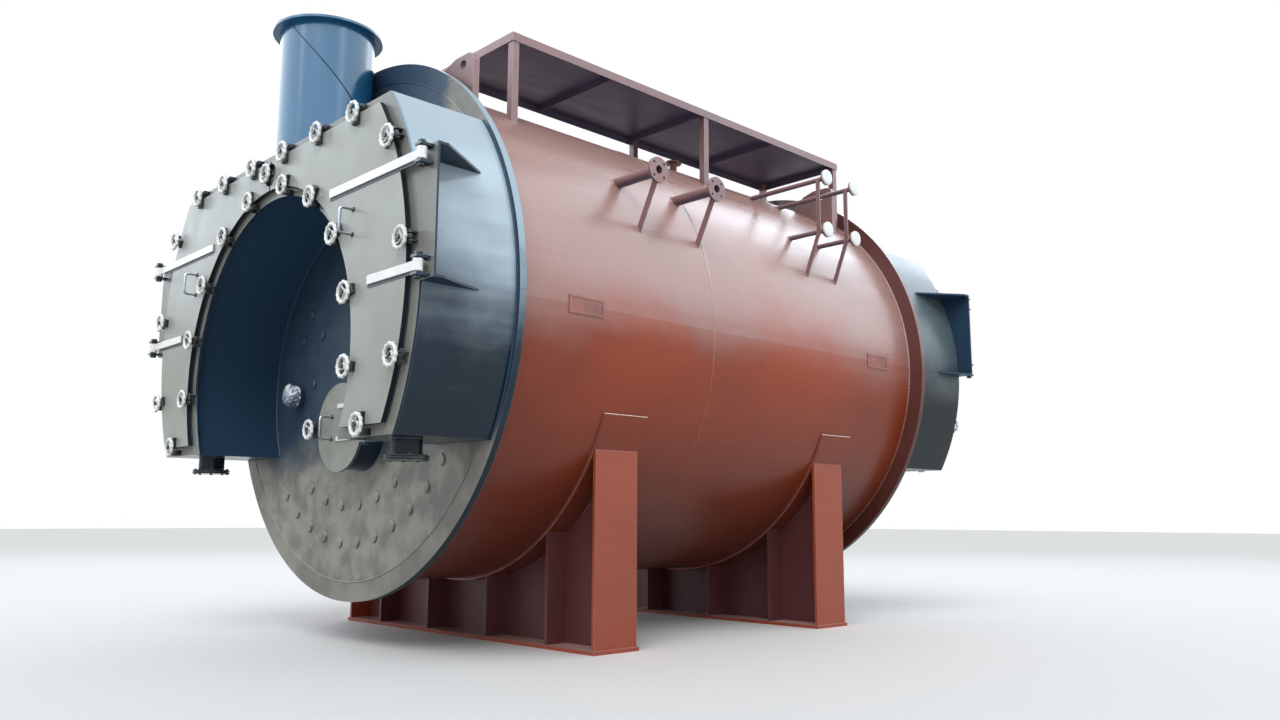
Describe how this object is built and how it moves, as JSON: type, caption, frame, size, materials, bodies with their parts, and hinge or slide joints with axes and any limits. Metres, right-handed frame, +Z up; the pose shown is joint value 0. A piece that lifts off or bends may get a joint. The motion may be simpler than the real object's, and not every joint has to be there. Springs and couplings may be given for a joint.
{
  "type": "horizontal fire tube boiler",
  "caption": "Horizontal fire tube boiler on two saddles with arched smoke boxes at both ends, hinged clamped doors, a chimney stub, nozzles and a raised platform.",
  "frame": {"origin": "middle of the front saddle's underside", "axes": "+Z up, +Y along the boiler from the front smoke box doors to the rear, +X to the right as seen from the front"},
  "size_m": [3.4, 5.116, 3.63],
  "materials": {
    "red_primer": "satin",
    "dark_red_ring": "satin",
    "black_paint": "gloss",
    "dusty_plate": "matt",
    "white_paint": "satin",
    "white_cover": "matt",
    "lining": "matt"
  },
  "bodies": {
    "boiler": {"shell_front_course": "red_primer", "shell_rear_course": "red_primer", "front_tube_plate": "dusty_plate", "rear_tube_plate": "dusty_plate", "front_end_ring": "black_paint", "rear_end_ring": "dark_red_ring", "front_box_sides": "black_paint", "front_box_arch": "black_paint", "front_box_flats": "black_paint", "front_box_frame": "dusty_plate", "front_ears": "black_paint", "front_clamp_forks": "black_paint", "chimney": "black_paint", "drain_nozzles": "black_paint", "access_neck": "black_paint", "covered_stub": "white_cover", "rear_box_walls": "black_paint", "rear_box_flats": "black_paint", "rear_box_frame": "black_paint", "rear_ears": "black_paint", "rear_doors": "black_paint", "rear_door_fittings": "white_paint", "saddle_bases": "red_primer", "saddle_webs": "red_primer", "saddle_ribs": "red_primer", "saddle_end_plates": "red_primer", "saddle_wear_pads": "red_primer", "platform_deck": "red_primer", "platform_posts": "red_primer", "feed_nozzles": "red_primer", "gauge_nozzles": "red_primer", "gauge_covers": "white_cover", "crown_nozzle": "red_primer", "lifting_lugs": "red_primer", "plate_frames": "red_primer"},
    "right_door": {"right_door_plate": "dusty_plate", "right_door_lining": "lining", "right_door_straps": "white_paint", "right_door_clamps": "white_paint"},
    "left_door": {"left_door_plate": "dusty_plate", "left_door_lining": "lining", "left_door_straps": "white_paint", "left_door_clamps": "white_paint"},
    "access_door": {"access_door_disc": "dusty_plate", "access_door_fittings": "white_paint"}
  },
  "joints": [
    {"name": "right_door_hinge", "type": "hinge", "parent": "boiler", "child": "right_door", "pos_m": [1.645, -1.537, 1.86], "axis": [0, 0, 1], "range_deg": [0, 110]},
    {"name": "left_door_hinge", "type": "hinge", "parent": "boiler", "child": "left_door", "pos_m": [-1.645, -1.537, 1.86], "axis": [0, 0, -1], "range_deg": [0, 110]},
    {"name": "access_door_hinge", "type": "hinge", "parent": "boiler", "child": "access_door", "pos_m": [0.45, -1.086, 1.245], "axis": [0, 0, 1], "range_deg": [0, 110]}
  ]
}
